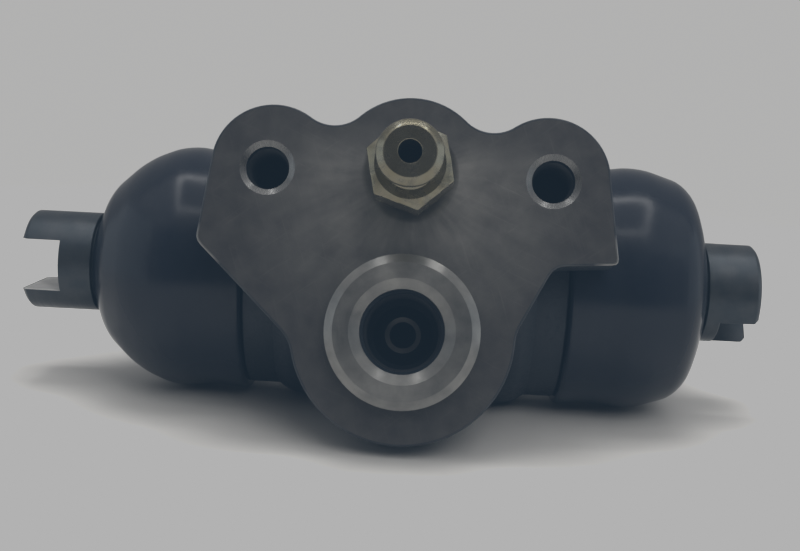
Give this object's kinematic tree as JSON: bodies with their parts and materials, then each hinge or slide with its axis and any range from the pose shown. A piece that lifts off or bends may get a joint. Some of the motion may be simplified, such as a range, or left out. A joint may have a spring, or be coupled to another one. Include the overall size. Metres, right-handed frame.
{
  "type": "drum brake wheel cylinder",
  "caption": "Cast drum brake wheel cylinder: flange with tapped holes, inlet port and bleed screw in front, slotted pistons leaving rubber dust boots at both ends.",
  "frame": {"origin": "midway between the two tapped mounting holes, on the flange face", "axes": "+X along the bore to the right piston, -Y out of the flange face towards the bleed screw's end, +Z from the inlet port up to the bleed screw"},
  "size_m": [0.0953, 0.0525, 0.0401],
  "materials": {
    "cast_body": "dark coated casting with a finely machined flange face",
    "piston_steel": "dark phosphated steel, satin",
    "seal_rubber": "smooth black rubber",
    "spring_steel": "bright drawn wire",
    "boot_rubber": "blue-black moulded rubber with a soft gloss",
    "plated_steel": "pale yellow zinc plating"
  },
  "bodies": {
    "cylinder": {"cylinder_body": "cast_body", "left_boot": "boot_rubber", "right_boot": "boot_rubber", "return_spring": "spring_steel"},
    "left_seal": {"left_seal": "seal_rubber"},
    "left_piston": {"left_piston": "piston_steel"},
    "right_seal": {"right_seal": "seal_rubber"},
    "right_piston": {"right_piston": "piston_steel"},
    "bleed_screw": {"bleed_screw": "plated_steel"}
  },
  "joints": [
    {"name": "left_travel", "type": "slide", "parent": "cylinder", "child": "left_seal", "axis": [-1, 0, 0], "range_m": [-0.005, 0.006], "deforming": ["left_boot", "return_spring"]},
    {"name": "left_turn", "type": "hinge", "parent": "left_seal", "child": "left_piston", "pos_m": [-0.03, 0.0225, -0.0099], "axis": [-1, 0, 0], "continuous": true},
    {"name": "right_travel", "type": "slide", "parent": "cylinder", "child": "right_seal", "axis": [1, 0, 0], "range_m": [-0.005, 0.006], "deforming": ["right_boot", "return_spring"]},
    {"name": "right_turn", "type": "hinge", "parent": "right_seal", "child": "right_piston", "pos_m": [0.03, 0.0225, -0.0099], "axis": [1, 0, 0], "continuous": true},
    {"name": "bleed_open", "type": "hinge", "parent": "cylinder", "child": "bleed_screw", "pos_m": [0, -0.004, 0], "axis": [0, -1, 0], "range_deg": [0, 180]}
  ]
}
